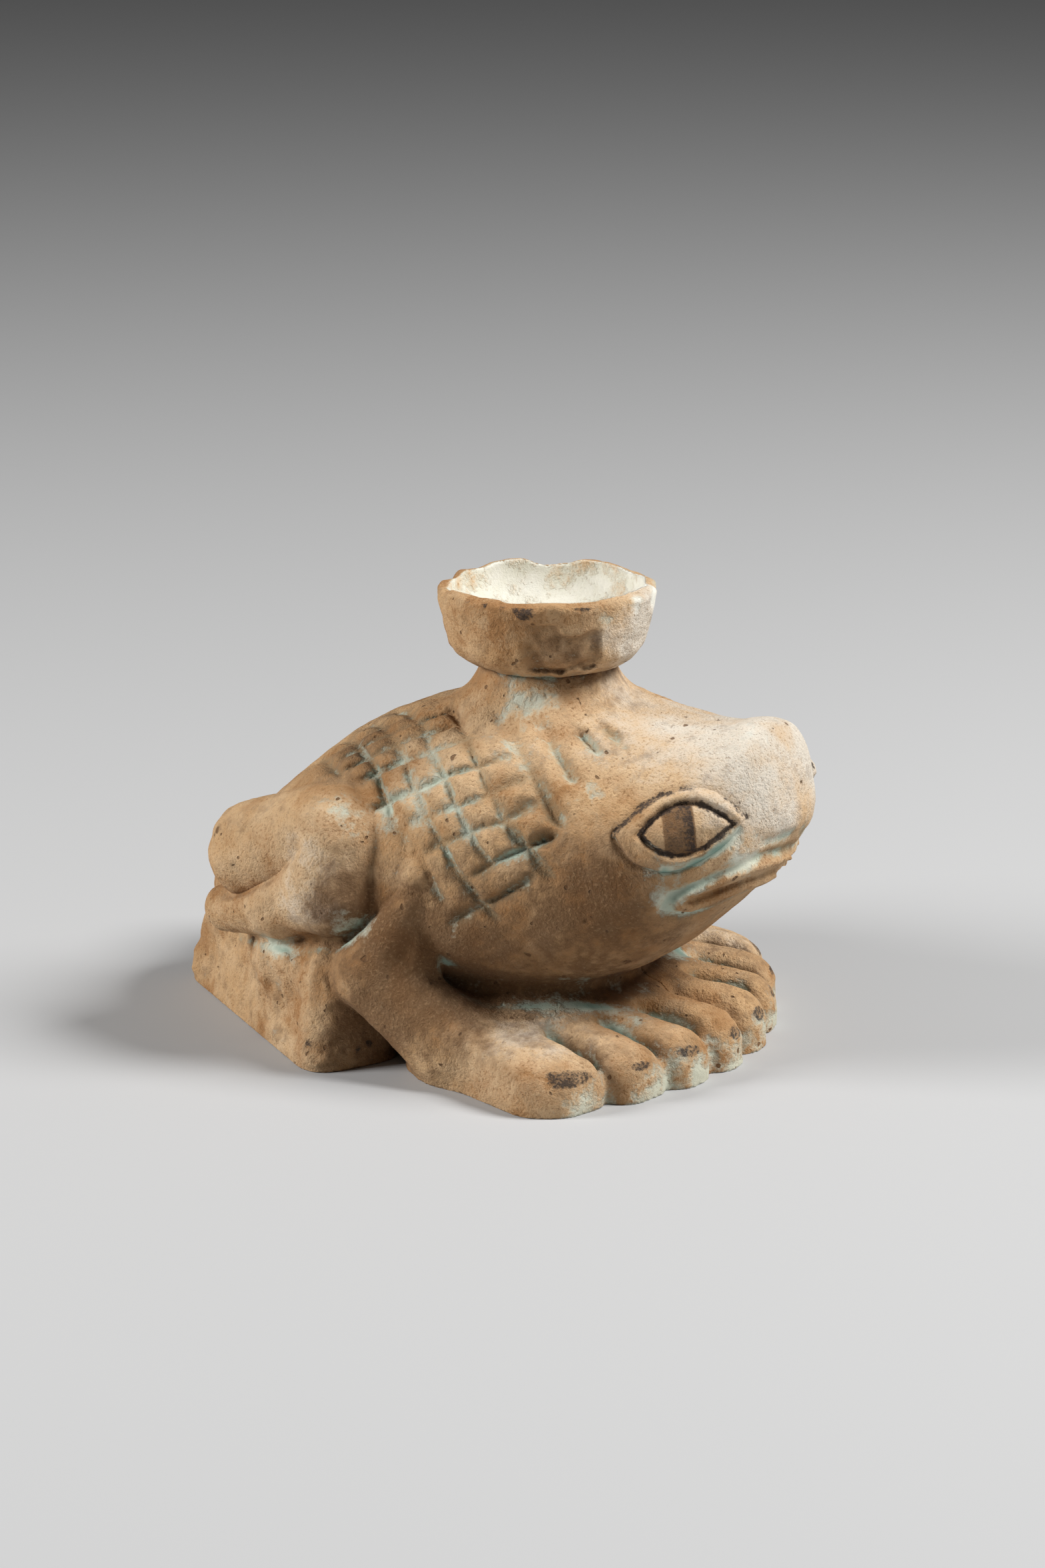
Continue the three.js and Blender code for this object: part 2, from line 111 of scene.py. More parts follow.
# Each long stroke is (angle at the middle Y, rear Y, front Y).
long_middle_y = -6
long_strokes = [
    (0, 14, 7),
    (11, 12, 0.5),
    (22, 10, -1),
    (33, 7, -5),
    (47, 4.5, -9),
    (58.7, 1, -11),
    (69.5, -2, -12.5),
    (83, -7, -14.5),
    (94.5, -5, -13),
]
cross_lean = 0.245
long_lean = 1.6
degrees_per_mm = 3.4
stroke_width = 0.3
stroke_depth = 0.6
stroke_shoulder = 0.8
shoulder_depth = 0.58
stroke_end = 1
stroke_end_angle = 3
lattice = np.random.RandomState(7).uniform(-1, 1, (32, 32, 32))


def unevenness(p, size):
    """Smooth chance waves between -1 and 1, about as far apart as the size."""
    spot = p / size
    cell = np.floor(spot).astype(int)
    t = spot - cell
    tx, ty, tz = (t * t * (3 - 2 * t)).T
    strides = np.array([1024, 32, 1])
    x0, y0, z0 = ((cell & 31) * strides).T
    x1, y1, z1 = ((cell + 1 & 31) * strides).T

    def column(xy):
        low = lattice.take(xy + z0)
        return low + tz * (lattice.take(xy + z1) - low)

    near = column(x0 + y0) * (1 - ty) + column(x0 + y1) * ty
    far = column(x1 + y0) * (1 - ty) + column(x1 + y1) * ty
    return near + tx * (far - near)


def bell(distance, width):
    """A soft bump of height 1 that fades out beyond its width."""
    return np.exp(-((distance / width) ** 2))


def fade(value, start, end):
    """A soft step from 0 at the start to 1 at the end."""
    t = np.clip((value - start) / (end - start), 0, 1)
    return t * t * (3 - 2 * t)


def hatching(p):
    """Depth of the strokes at points of the right side."""
    x, y, z = p.T
    angle = np.degrees(np.arctan2(-x, z - widest_level(y)))
    wobble = 0.3 * unevenness(p, 3.1)
    narrow = np.zeros(len(p))
    wide = np.zeros(len(p))

    def draw(beside, ends):
        np.maximum(narrow, bell(beside + wobble, stroke_width) * ends, out=narrow)
        np.maximum(wide, bell(beside + wobble, stroke_shoulder) * ends, out=wide)

    for middle, first, last in cross_strokes:
        lean = cross_lean * (angle - cross_middle_angle)
        beside = (y - middle + lean) / math.hypot(1, cross_lean * degrees_per_mm)
        top = fade(angle, first - stroke_end_angle, first + stroke_end_angle)
        bottom = fade(angle, last + stroke_end_angle, last - stroke_end_angle)
        draw(beside, top * bottom)
    for middle, rear, front in long_strokes:
        lean = long_lean * (y - long_middle_y)
        beside = (angle - middle - lean) / math.hypot(degrees_per_mm, long_lean)
        rear_end = fade(y, rear + stroke_end, rear - stroke_end)
        draw(beside, rear_end * fade(y, front - stroke_end, front + stroke_end))
    wear = 0.85 + 0.4 * unevenness(p, 6.3)
    sharp = stroke_depth * fade(unevenness(p, 4.7), -0.5, 0.4)
    soft = shoulder_depth * (1 + 0.5 * fade(y, -6, -14))
    return (sharp * narrow + soft * wide) * wear


# Face
# The snout carries a long mouth between thin lips that turn round its corner, a groove over the upper
# lip, and low swellings of the cheeks on which the almond eyes are laid.
lip_end = (-11.5, -26.5, 19.5)
upper_lip = [(0, -31.4, 20.4), (-3.6, -31.2, 20.9), (-6.1, -30.7, 21.1), (-9.3, -28.6, 20.4), lip_end]
lip_corner = [lip_end, (-12, -25.5, 18.7), (-11.4, -25.6, 18), (-10.2, -26.1, 17.7)]
lower_lip = [(0, -29.9, 18.3), (-4.7, -29.6, 18.8), (-8, -28, 18.4), (-10.2, -26.1, 17.7)]
mouth_end = (-10.4, -26.3, 18.6)
mouth_line = [(0, -30.4, 19.2), (-2.7, -30.2, 19.5), (-5.9, -29.4, 19.8), (-7.9, -28, 19.3), mouth_end]
groove_turn = (-12.3, -25.1, 19.4)
lip_groove = [(0, -31.5, 21.5), (-4.2, -31.2, 22.1), (-6.8, -30.5, 22), (-10, -27.9, 20.8), groove_turn]
nose_edge = [(0, -32.2, 24.6), (-4.5, -31.9, 25)]
nostril = [(-1.6, -32.3, 23.4), (-5.1, -31.6, 23.6)]
corner_groove = [groove_turn, (-12.4, -24.4, 18.2), (-11.1, -24.6, 17.1), (-9.3, -25.5, 16.8)]

eye_middle = np.array([-11.8, -26.2, 25.8])
eye_along = np.array([0.512, -0.853, 0.102])
eye_up = np.array([0.162, 0.213, 0.964])
eye_reach = 8
eye_half_length = 4.4
eye_corners = (-eye_half_length, 0), (eye_half_length, 0)
upper_lash = line_through(eye_corners[0], (-2.6, 1.6), (0.5, 2.4), (2.6, 1.6), eye_corners[1])
lower_lash = line_through(eye_corners[0], (-3.2, -1.3), (-1.3, -2.2), (1.2, -1.9), (3, -0.9), eye_corners[1])
lid_rear = -6.6
lid_front = 5.7
upper_lid = line_through((lid_rear, 0.5), (-4, 2.5), (-1.4, 3.5), (0.8, 3.8), (3.2, 3), (lid_front, 0.5))
lower_lid = line_through(
    (lid_rear, 0.2), (-6, -1.2), (-3.8, -3.1), (-2.2, -3.5), (0.6, -3), (4, -1.3), (lid_front, 0.3)
)


def right_side(p):
    """Points folded over to the right side, where the paired pieces are modelled."""
    return np.column_stack([-np.abs(p[:, 0]), p[:, 1], p[:, 2]])


def from_line(p, stops):
    """Distance from a bent line through stops."""
    nearest = np.full(len(p), np.inf)
    stops = np.array(stops, float)
    for start, end in zip(stops, stops[1:]):
        along = end - start
        t = np.clip((p - start) @ along / (along @ along), 0, 1)
        nearest = np.minimum(nearest, np.linalg.norm(p - start - t[:, None] * along, axis=1))
    return nearest


def from_eye(p):
    """Distance of points of the right side from the middle of the eye."""
    return np.linalg.norm(p - eye_middle, axis=1)


def eye_spot(p):
    """Points of the right side as (forward, up) on the plane of the eye."""
    return np.column_stack([(p - eye_middle) @ eye_along, (p - eye_middle) @ eye_up])


def drawn(line, start, end, steps=14):
    """Stops along a line on the plane of the eye."""
    stations = np.linspace(start, end, steps)
    return np.column_stack([stations, line(stations)])


lid_crease = drawn(upper_lid, lid_rear, lid_front)
pouch_crease = drawn(lower_lid, lid_rear, 4.5)


def swelling(p):
    """How far the cheek stands out round the eye."""
    forward, up = eye_spot(p).T
    return 0.75 * bell(np.hypot(forward / 1.35, up), 4.2)


def face(p):
    """How far the lips, cheeks and hollows stand out from the egg, at points of the right side."""
    spot = eye_spot(p)
    from_lips = np.minimum(from_line(p, upper_lip), from_line(p, lip_corner + lower_lip[-2::-1]))
    from_groove = from_line(p, lip_groove + corner_groove[1:])
    lips = 0.8 * bell(from_lips, 0.58) - 0.55 * bell(from_line(p, mouth_line), 0.45)
    grooves = 0.55 * bell(from_groove, 0.65) + 0.3 * bell(from_line(p, nostril), 0.8)
    pouch = 0.5 * bell(from_line(spot, pouch_crease), 0.5)
    crease = 0.18 * bell(from_line(spot, lid_crease), 0.3)
    nose = 0.75 * bell(from_line(p, nose_edge), 1.8)
    return swelling(p) + lips + nose - grooves - pouch - crease


def lifted(p):
    """Points raised on the left of the snout, where the mouth hangs a little lower."""
    lift = 1.2 * fade(p[:, 0], 0, 3) * fade(p[:, 1], -28, -30) * fade(p[:, 2], 25, 23)
    return p + lift[:, None] * (0, 0, 1)


def body(p):
    """Distance from the finished outside of the body."""
    distance = egg(p)
    near = np.abs(distance) < 1.6
    spot = p[near]
    right = right_side(spot)
    rise = 0.12 * unevenness(spot, 5) + 0.08 * unevenness(spot, 1.7) + 0.035 * unevenness(spot, 0.7)
    rise -= 0.3 * fade(unevenness(spot, 0.93), 0.8, 0.95)
    front = spot[:, 1] < -17
    rise[front] += face(right_side(lifted(spot[front])))
    hatched = (spot[:, 1] > -24) & (spot[:, 2] > 11)
    rise[hatched] -= hatching(right[hatched])
    distance[near] -= rise
    return distance


# Paste
# Frit paste is ground quartz, pale sandy brown where the glaze has gone and darker where soil stained
# it. Painted shade darkens it in hollows and shaded places, and painted light pales its lit places. A thin
# green-white glaze is left in hollows and patches, with strokes of black-brown paint.


class Shade:
    """A value in a finish. Arithmetic on it adds Math nodes."""

    def __init__(self, finish, socket):
        self.finish = finish
        self.socket = socket

    def __add__(self, other):
        return self.finish.maths("ADD", self, other)

    def __sub__(self, other):
        return self.finish.maths("SUBTRACT", self, other)

    def __rsub__(self, other):
        return self.finish.maths("SUBTRACT", other, self)

    def __mul__(self, other):
        return self.finish.maths("MULTIPLY", self, other)

    __radd__ = __add__
    __rmul__ = __mul__

    def between(self, start, end):
        """0 up to the start, 1 from the end on, and an even rise between them."""
        limits = {"From Min": start, "From Max": end}
        return self.finish.node("ShaderNodeMapRange", {"clamp": True}, {"Value": self, **limits})


class Finish:
    """A material that is put together node by node."""

    def __init__(self, name):
        self.material = bpy.data.materials.new(name)
        self.material.use_nodes = True
        self.tree = self.material.node_tree
        self.surface = self.tree.nodes["Principled BSDF"]
        self.place = self.node("ShaderNodeTexCoord", {}, {}, "Object")

    def feed(self, socket, value):
        if isinstance(value, Shade):
            self.tree.links.new(value.socket, socket)
        else:
            socket.default_value = value

    def node(self, kind, settings, sockets, output=0):
        made = self.tree.nodes.new(kind)
        for name, value in settings.items():
            setattr(made, name, value)
        for name, value in sockets.items():
            self.feed(made.inputs[name], value)
        return Shade(self, made.outputs[output])

    def maths(self, operation, first, second):
        return self.node("ShaderNodeMath", {"operation": operation}, {0: first, 1: second})

    def mottle(self, size, detail=3.0, roughness=0.55):
        """Cloudy variation between 0 and 1, about as far apart as the size in millimetres."""
        sockets = {"Scale": 1000 / size, "Detail": detail, "Roughness": roughness, "Vector": self.place}
        return self.node("ShaderNodeTexNoise", {}, sockets)

    def kept(self, name):
        """A value that is stored on the points of a piece."""
        return self.node("ShaderNodeAttribute", {"attribute_name": name}, {}, "Fac")

    def mix(self, first, second, share):
        """One colour laid over another."""
        return self.node("ShaderNodeMix", {"data_type": "RGBA"}, {0: share, 6: first, 7: second}, 2)


sand = (0.55, 0.34, 0.165, 1)
ochre = (0.35, 0.175, 0.064, 1)
buff = (0.62, 0.43, 0.25, 1)
cream = (0.67, 0.6, 0.5, 1)
soil_and_shade_brown = (0.13, 0.058, 0.018, 1)
mint = (0.6, 0.64, 0.52, 1)
turquoise = (0.19, 0.37, 0.32, 1)
grey_green = (0.2, 0.2, 0.13, 1)
milk = (0.78, 0.78, 0.7, 1)
black_brown = (0.035, 0.022, 0.016, 1)


def frit(name):
    """Weathered frit paste, coloured by what is kept on its points."""
    finish = Finish(name)
    clouds = finish.mottle(9)
    blotches = finish.mottle(4.2, 5.0, 0.6)
    patches = finish.mottle(1.7, 6.0, 0.65)
    grain = finish.mottle(0.3, 3.0, 0.7)
    hollow = finish.kept("hollow")
    stain_and_shade = finish.kept("stain_and_shade")
    glaze = finish.kept("glaze")
    paint = finish.kept("paint")
    pale = finish.kept("pale")
    crease = finish.kept("crease")

    colour = finish.mix(ochre, sand, (clouds * 0.4 + blotches * 0.3 + patches * 0.3).between(0.42, 0.55))
    # The pale attribute pales the paste: partly worn places, partly painted light on the lit forehead and
    # snout.
    paler = pale + blotches * 0.9 + grain * 0.4
    colour = finish.mix(colour, buff, paler.between(0.64, 0.95))
    colour = finish.mix(colour, cream, paler.between(0.92, 1.25))
    # Soil stains and painted shade darken the paste: the stain attribute holds both, and the hollow term is
    # painted shade in hollows and creases.
    soiled_and_shaded = (stain_and_shade + hollow * 0.35 + patches * 1.2 + blotches * 0.6 + grain * 0.6).between(1.26, 1.66)
    colour = finish.mix(colour, soil_and_shade_brown, soiled_and_shaded * 0.82)
    colour = finish.mix(colour, soil_and_shade_brown, grain.between(0.45, 0.28) * 0.6)
    colour = finish.mix(colour, sand, grain.between(0.55, 0.68) * 0.3)
    wash = (crease + patches * 0.6 + grain * 0.4).between(0.6, 1.2)
    colour = finish.mix(colour, grey_green, wash * 0.7)

    covered = glaze + crease * 0.4 + hollow * 0.1 + blotches * 0.6 + patches * 0.6 + grain * 0.2
    film = covered.between(0.96, 1.12)
    thick = (crease * 0.9 + hollow * 0.4 + glaze * 0.3 + clouds * 0.4).between(0.55, 1.3)
    glass = finish.mix(mint, turquoise, thick)
    glass = finish.mix(glass, milk, (pale + glaze + blotches).between(1.05, 1.45))
    pits = finish.mottle(1.1, 1.0, 0.5).between(0.74, 0.77)
    glaze_share = film * (1 - pits) * 0.75
    colour = finish.mix(colour, glass, glaze_share)
    colour = finish.mix(colour, soil_and_shade_brown, pits * 0.8)
    brushed = (paint + grain * 0.9 + patches * 0.5).between(1.08, 1.3)
    colour = finish.mix(colour, black_brown, brushed * 0.92)
    finish.feed(finish.surface.inputs["Base Color"], colour)
    finish.feed(finish.surface.inputs["Roughness"], 0.95 - glaze_share * 0.4)
    height = grain * 0.7 + patches * 0.8 - pits * 0.8
    bump = {"Strength": 0.9, "Distance": 0.0004, "Height": height * (1 - glaze_share)}
    finish.feed(finish.surface.inputs["Normal"], finish.node("ShaderNodeBump", {}, bump))
    return finish.material


paste = frit("weathered paste")


# Shells
# The two pressed halves of the body meet on a plane that slopes down from the lips to the rump. The
# hollow inside them opens upwards through a round hole for the neck.
body_wall = 4
hollow_front = -20
hollow_rear = 20
neck_y = -6.2
neck_hole_radius = 5.1
crown_height = 34.8
parting_nose_height = 23.5
parting_rump_height = 11
parting_middle = (0, (nose_y + rump_y) / 2, (parting_nose_height + parting_rump_height) / 2)
parting_slope = math.atan2(parting_rump_height - parting_nose_height, rump_y - nose_y)
body_cell = 0.275


def off_axis(p):
    """Distance from the upright middle line of the neck and cup."""
    return np.hypot(p[:, 0], p[:, 1] - neck_y)


def hollow_body(p):
    """Distance from the wall of the body, hole and hollow taken out."""
    y, z = p[:, 1], p[:, 2]
    oil = np.maximum.reduce([egg(p) + body_wall, hollow_front - y, y - hollow_rear])
    hole = np.maximum(off_axis(p) - neck_hole_radius, crown_height - 2 * body_wall - z)
    return np.maximum.reduce([body(p), -oil, -hole])


def slope_of(form, p, step=0.03):
    """The direction in which a form's distance grows, at points."""
    here = form(p)
    ahead = [form(p + step * np.eye(3)[axis]) for axis in range(3)]
    return here, np.column_stack([(value - here) / step for value in ahead])


corners = list(itertools.product((0, 1), repeat=3))


def shifted(values, corner):
    """The grid values at one corner of every cell."""
    return values[tuple(slice(c, n - 1 + c) for c, n in zip(corner, values.shape))]


def fill_touching(inside):
    """Fills grid points where two parts of a surface would touch along an edge or at a point."""
    filled = -1
    while filled != inside.sum():
        filled = inside.sum()
        for axis in range(3):
            square = [shifted(inside, corner) for corner in corners if corner[axis] == 0]
            touching = (square[0] == square[3]) & (square[1] == square[2]) & (square[0] != square[1])
            for view in square:
                view |= touching
        views = [shifted(inside, corner) for corner in corners]
        count = sum(view.astype(np.int8) for view in views)
        for near in range(4):
            pair = views[near].astype(np.int8) + views[7 - near]
            touching = (count == 2) & (pair == 2) | (count == 6) & (pair == 0)
            for view in views:
                view |= touching


def skin(form, low, high, cell):
    """Points and four-sided faces on the surface of a form inside a box."""
    coarse = 4
    low = np.array(low, float)
    blocks = np.ceil((np.array(high) - low) / (cell * coarse)).astype(int)
    grid = np.stack(np.meshgrid(*[np.arange(n + 1) for n in blocks], indexing="ij"), axis=-1)
    rough = form(low + cell * coarse * grid.reshape(-1, 3)).reshape(grid.shape[:3])
    nearest = np.min([np.abs(shifted(rough, corner)) for corner in corners], axis=0)
    fine = np.sign(rough[:-1, :-1, :-1])
    busy = nearest < 1.15 * cell * coarse
    for axis in range(3):
        fine = np.repeat(fine, coarse, axis)
        busy = np.repeat(busy, coarse, axis)
    for part in np.array_split(np.argwhere(busy), 8):
        fine[tuple(part.T)] = form(low + cell * part)

    inside = fine < 0
    fill_touching(inside)
    fine[inside & (fine >= 0)] = -0.05 * cell
    count = sum(shifted(inside, corner).astype(int) for corner in corners)
    crossed = (count > 0) & (count < 8)
    number = np.full(crossed.shape, -1)
    cells = np.argwhere(crossed)
    number[crossed] = np.arange(len(cells))
    total = np.zeros((len(cells), 3))
    hits = np.zeros((len(cells), 1))
    faces = []
    for axis in range(3):
        step = np.eye(3, dtype=int)[axis]
        for corner in (c for c in corners if c[axis] == 0):
            start = cells + corner
            before = fine[tuple(start.T)]
            after = fine[tuple((start + step).T)]
            cut = (before < 0) != (after < 0)
            total[cut] += start[cut] + (before[cut] / (before[cut] - after[cut]))[:, None] * step
            hits[cut] += 1
        ends = [slice(None)] * 3
        ends[axis] = slice(1, None)
        starts = [slice(None)] * 3
        starts[axis] = slice(None, -1)
        edges = np.argwhere(inside[tuple(starts)] != inside[tuple(ends)])
        side = np.roll(step, 1)
        other = np.roll(step, 2)
        ring = [edges - side - other, edges - other, edges, edges - side]
        quads = np.column_stack([number[tuple(place.T)] for place in ring])
        leaving = inside[tuple(edges.T)]
        faces.append(np.where(leaving[:, None], quads, quads[:, ::-1]))
    points = low + cell * total / hits
    for settle in range(2):
        distance, slope = slope_of(form, points)
        move = distance / np.maximum(np.sum(slope**2, axis=1), 0.05)
        points = points - np.clip(move, -0.4 * cell, 0.4 * cell)[:, None] * slope
    return points, np.concatenate(faces)


def lay(name, points, faces, node, slot, finish):
    """A finished piece of the flask in the place of its solid."""
    mesh = bpy.data.meshes.new(name)
    mesh.from_pydata(np.array(points) / 1000, [], faces)
    mesh.shade_smooth()
    mesh.set_sharp_from_angle(angle=math.radians(50))
    mesh.materials.append(finish)
    piece = bpy.data.objects.new(name, mesh)
    bpy.context.scene.collection.objects.link(piece)
    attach(piece, "root")
    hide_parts(node)
    return piece


def half_shell(points, faces, side):
    """The part of the body on one side of the parting plane, closed with a flat lip."""
    whole = bmesh.new()
    verts = [whole.verts.new(point) for point in points]
    for face in faces:
        whole.faces.new([verts[i] for i in face])
    normal = (0, -side * math.sin(parting_slope), side * math.cos(parting_slope))
    everything = whole.verts[:] + whole.edges[:] + whole.faces[:]
    bmesh.ops.bisect_plane(
        whole, geom=everything, dist=1e-5, plane_co=parting_middle, plane_no=normal, clear_inner=True
    )
    rim = [edge for edge in whole.edges if edge.is_boundary]
    bmesh.ops.triangle_fill(whole, edges=rim, use_beauty=True)
    bmesh.ops.recalc_face_normals(whole, faces=whole.faces)
    whole.verts.index_update()
    half = [tuple(v.co) for v in whole.verts], [[v.index for v in f.verts] for f in whole.faces]
    whole.free()
    return half


body_skin = skin(hollow_body, (-20.5, -34.5, 4.5), (20.5, 33, 37), body_cell)
pieces = [
    lay("pressed_back", *half_shell(*body_skin, 1), "back_shell", "paste", paste),
    lay("pressed_belly", *half_shell(*body_skin, -1), "belly_shell", "paste", paste),
]


# Neck
# A short collar of paste stands on the crown and flares out where it was smoothed down on the back.
# A spigot under it goes through the shell, and the oil runs through its bore.
neck_radius = 6.2
spigot_radius = 5
bore_radius = 3.4
cup_foot_height = 37.2
neck_top = cup_foot_height - 0.15
neck_reach = 5
lute_overlap = 0.3
limb_cell = 0.24


def smooth_join(first, second, reach):
    """Distance from two forms that are smoothed into each other over a reach."""
    near = np.maximum(reach - np.abs(first - second), 0)
    return np.minimum(first, second) - near**2 / (4 * reach)


def neck_form(p):
    from_axis = off_axis(p)
    lumps = 0.12 * unevenness(p, 3.7) + 0.04 * unevenness(p, 1.1)
    return np.maximum(from_axis - neck_radius - lumps, p[:, 2] - neck_top)


luted = [(neck_form, neck_reach)]


def flask(p, count):
    """Distance from the flask as it stands with the first few pieces luted on."""
    distance = body(p)
    for form, reach in luted[:count]:
        distance = smooth_join(distance, form(p), reach)
    return distance


def luted_piece(p, turn):
    """Distance from one luted piece alone, which laps a little into what was there before it."""
    form, reach = luted[turn]
    before = flask(p, turn)
    added = form(p)
    joined = smooth_join(before, added, reach)
    return np.maximum.reduce([joined, -before - lute_overlap, added - 0.9 * reach])


def neck_piece(p):
    from_axis = off_axis(p)
    foot = crown_height - body_wall - p[:, 2]
    spigot = np.maximum.reduce([from_axis - spigot_radius, foot, p[:, 2] - neck_top])
    collar = np.maximum(luted_piece(p, 0), p[:, 2] - neck_top)
    return np.maximum(np.minimum(collar, spigot), bore_radius - from_axis)


neck_skin = skin(neck_piece, (-12, -18, 29.5), (12, 6, 38.5), limb_cell)
pieces.append(lay("collar", *neck_skin, "neck", "paste", paste))


# Mouth cup
# A flaring cup with a narrow rim was turned by hand and luted on the neck. Its rim is chipped all
# round, a flake has come off the front down to the coarse core, and its inside keeps most of the glaze.
cup_rim_height = 45.2
cup_rim_radius = 10.8
cup_base_radius = 9.4
cup_base_height = 38.6
cup_foot_radius = 7.2
cup_rim_width = 1.5
cup_floor_height = 38.8
cup_reach = 0.9
front_turn = math.radians(-154.1)
cup_cell = 0.22
# Each chip is (degrees round the cup from its front, half width in degrees, depth).
rim_chips = [
    (-88, 16, 0.8),
    (-112, 9, 0.5),
    (-136, 12, 0.45),
    (177, 12, 0.75),
    (118, 18, 0.35),
    (-20, 7, 0.25),
]
flake_start = -14
flake_end = 30
flake_bottom = 37.8
flake_top = 42.6
flake_depth = 0.45


def cup_turn(p):
    """Degrees round the cup from its front."""
    angle = np.degrees(np.arctan2(p[:, 1] - neck_y, p[:, 0]) - front_turn)
    return (angle + 180) % 360 - 180


def flake(p):
    """How much of the flaked place on the front of the cup a point lies in, from 0 to 1."""
    turn = cup_turn(p) + 3 * unevenness(p, 1.1)
    height = p[:, 2] + 0.8 * unevenness(p, 1.5)
    top = flake_top - 0.045 * (turn - 10)
    sides = fade(turn, flake_start - 10, flake_start + 10) * fade(turn, flake_end + 1, flake_end - 1)
    return sides * fade(height, flake_bottom - 0.2, flake_bottom + 0.2) * fade(height, top + 0.25, top - 0.25)


def cup_form(p):
    z = p[:, 2]
    turn = cup_turn(p)
    from_axis = off_axis(p)
    lumps = 0.14 * unevenness(p, 4.3) + 0.1 * unevenness(p, 1.3) + 0.06 * unevenness(p, 0.6)
    lumps -= 0.25 * fade(unevenness(p, 0.97), 0.78, 0.95)
    flare = (cup_rim_radius - cup_base_radius) / (cup_rim_height - cup_base_height)
    outside = (from_axis - cup_base_radius - flare * (z - cup_base_height)) / math.hypot(1, flare)
    bevel = (cup_base_radius - cup_foot_radius) / (cup_base_height - cup_foot_height)
    foot = (from_axis - cup_foot_radius - bevel * (z - cup_foot_height)) / math.hypot(1, bevel)
    rim = z - cup_rim_height + 0.05 + 0.1 * unevenness(p, 2.6) + 0.06 * unevenness(p, 0.9)
    rim += (0.5 + 0.4 * unevenness(p, 2.2)) * np.maximum(from_axis - cup_rim_radius + cup_rim_width, 0)
    for middle, width, depth in rim_chips:
        away = (turn - middle + 180) % 360 - 180
        rim += depth * bell(away + 4 * unevenness(p, 1.1), width)
    deep = np.maximum(cup_rim_height + 0.2 - z, 0) / (cup_rim_height - cup_floor_height)
    bowl_radius = cup_rim_radius - cup_rim_width + 0.1 * unevenness(p, 3.3)
    bowl = (np.sqrt((from_axis / bowl_radius) ** 2.4 + deep**2.4) - 1) * 3.2
    outer = -smooth_join(-outside, -foot, 0.9) - lumps + (flake_depth + 0.1 * unevenness(p, 0.7)) * flake(p)
    outer = -smooth_join(-outer, -rim, 0.5)
    outer = np.maximum(outer, cup_foot_height - z)
    return np.maximum(-smooth_join(-outer, bowl, 0.4), bore_radius - from_axis)


luted.append((cup_form, cup_reach))


def cup_piece(p):
    from_axis = off_axis(p)
    above_neck = cup_foot_height - 1.2 - p[:, 2]
    neck = np.maximum(from_axis - neck_radius, p[:, 2] - neck_top)
    joined = smooth_join(cup_form(p), neck + 0.05, cup_reach)
    return np.maximum.reduce([joined, above_neck, bore_radius - from_axis])


cup_skin = skin(cup_piece, (-12.5, -19, 34.8), (12.5, 6.5, 46.8), cup_cell)
cup_glaze = frit("glazed cup")
pieces.append(lay("oil_cup", *cup_skin, "mouth_cup", "cup_glaze", cup_glaze))


# Hind legs
# Each hind leg is two rolls of paste, a thigh and a shank, folded at the knee and pressed on the flank,
# and a long foot with worn round edges that lies slanting under the body.

# Each roll is (start, radius at the start, end, radius at the end).
thigh_inner = (-10.6, 18.2, 16.8), 4.4, (-13, 8.4, 20.6), 4.6
thigh_outer = (-13, 18.6, 18.4), 4.8, (-15.4, 8.7, 22), 4.9
shank_inner = (-10.4, 17.6, 12.6), 2.4, (-13.4, 8.6, 16.2), 5
shank_tail = (-12.6, 22.2, 11.8), 2.4, (-15.6, 14.2, 14.4), 3.6
shank_calf = (-15.6, 14.2, 14.4), 3.6, (-16, 8.6, 17.4), 5.6
shank_knee = (-16, 8.6, 17.4), 5.6, (-15.6, 8.2, 20.8), 5.3
knee_crease = [
    (-15, 21.5, 14.3),
    (-17.4, 17.1, 16.2),
    (-18.9, 14, 18.3),
    (-19.5, 12.3, 20.2),
    (-19.8, 10.8, 21.6),
]
instep_roll = (-12.6, 14.5, 8), 4, (-15.4, 4.6, 9.8), 3.6
hind_foot_height = 10.8
hind_foot_round = 4
# Each side of a hind foot is (a place on its foot, the way it faces, its lean).
hind_foot_sides = [
    ((-22.2, 9), (-0.768, 0.64), 0.16),
    ((-20, 5.1), (-0.525, -0.851), 0.06),
    ((-0.8, 33.8), (0.636, 0.772), 0.2),
    ((-11, 7), (0.875, -0.484), 0),
]


def roll(p, start, start_radius, end, end_radius):
    """Distance from a tapering roll with round ends."""
    start = np.array(start, float)
    along = np.array(end, float) - start
    t = np.clip((p - start) @ along / (along @ along), 0, 1)
    radius = start_radius + t * (end_radius - start_radius)
    return np.linalg.norm(p - start - t[:, None] * along, axis=1) - radius


def lumpy(p, most):
    """The slight unevenness of rolled paste."""
    return most * (unevenness(p, 4.1) + 0.55 * unevenness(p, 1.5) + 0.3 * unevenness(p, 0.7))


def thigh_form(p):
    p = right_side(p)
    thigh = smooth_join(roll(p, *thigh_inner), roll(p, *thigh_outer), 1)
    return thigh - lumpy(p, 0.2)


def shank_form(p):
    p = right_side(p)
    calf_and_knee = np.minimum(roll(p, *shank_calf), roll(p, *shank_knee))
    outer = smooth_join(roll(p, *shank_tail), calf_and_knee, 1)
    shank = smooth_join(outer, roll(p, *shank_inner), 1)
    return shank + 1.1 * bell(from_line(p, knee_crease), 0.9) - lumpy(p, 0.2)


